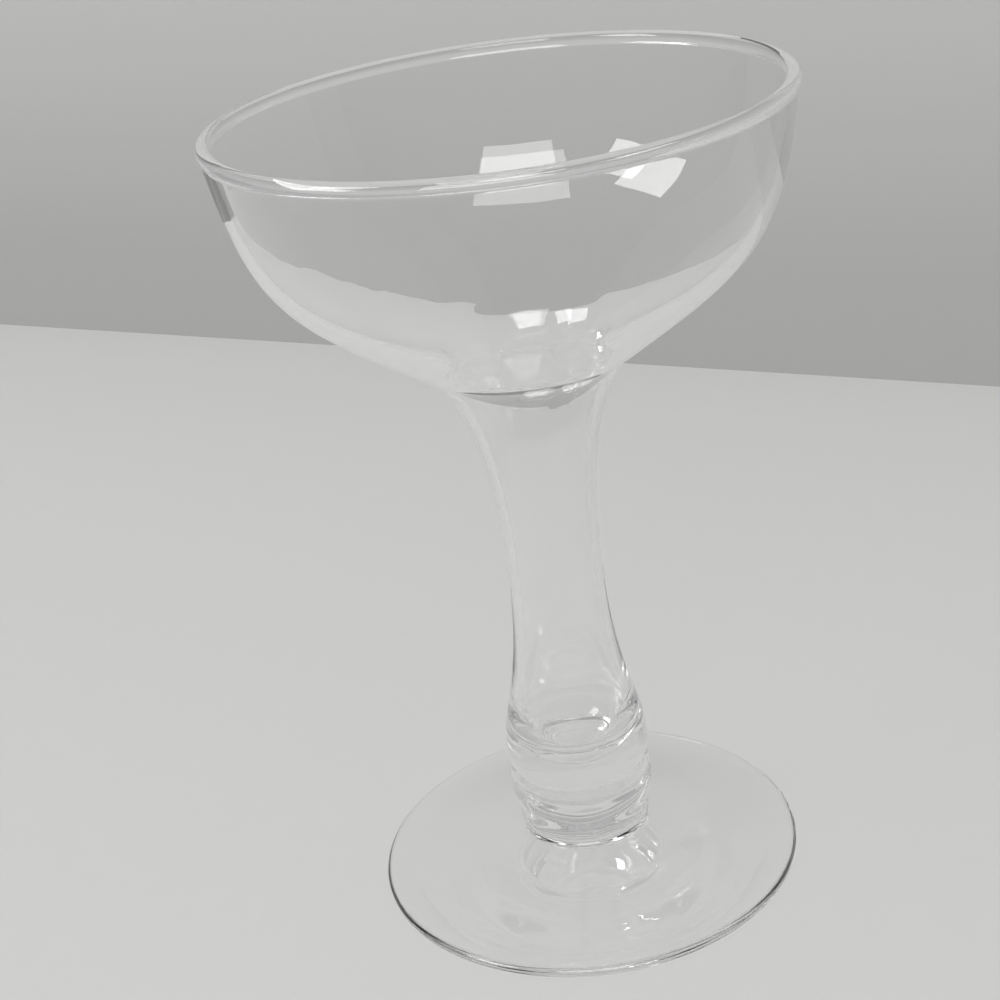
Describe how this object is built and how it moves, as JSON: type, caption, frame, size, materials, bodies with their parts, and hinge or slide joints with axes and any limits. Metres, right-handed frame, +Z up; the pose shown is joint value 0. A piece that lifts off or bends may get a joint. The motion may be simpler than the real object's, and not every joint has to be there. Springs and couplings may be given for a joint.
{
  "type": "champagne glass",
  "caption": "Clear hollow-stem champagne saucer: a wide shallow bowl open into a tube stem with a bulb, on a solid knop and a round foot, for serving sparkling wine.",
  "frame": {"origin": "middle of the foot at the level of its contact ring, where the glass stands on a table", "axes": "+Z up along the axis that every piece is turned about; +X and +Y level"},
  "size_m": [0.0888, 0.0888, 0.133],
  "materials": {
    "bowl_glass": "thin blown clear glass, fire-polished",
    "stem_glass": "drawn clear glass, smooth",
    "knop_glass": "solid clear glass, fire-polished",
    "foot_glass": "pressed clear glass, lightly worn where it stands"
  },
  "bodies": {
    "root": {"bowl": "bowl_glass", "stem": "stem_glass", "knop": "knop_glass", "foot": "foot_glass"}
  },
  "joints": []
}
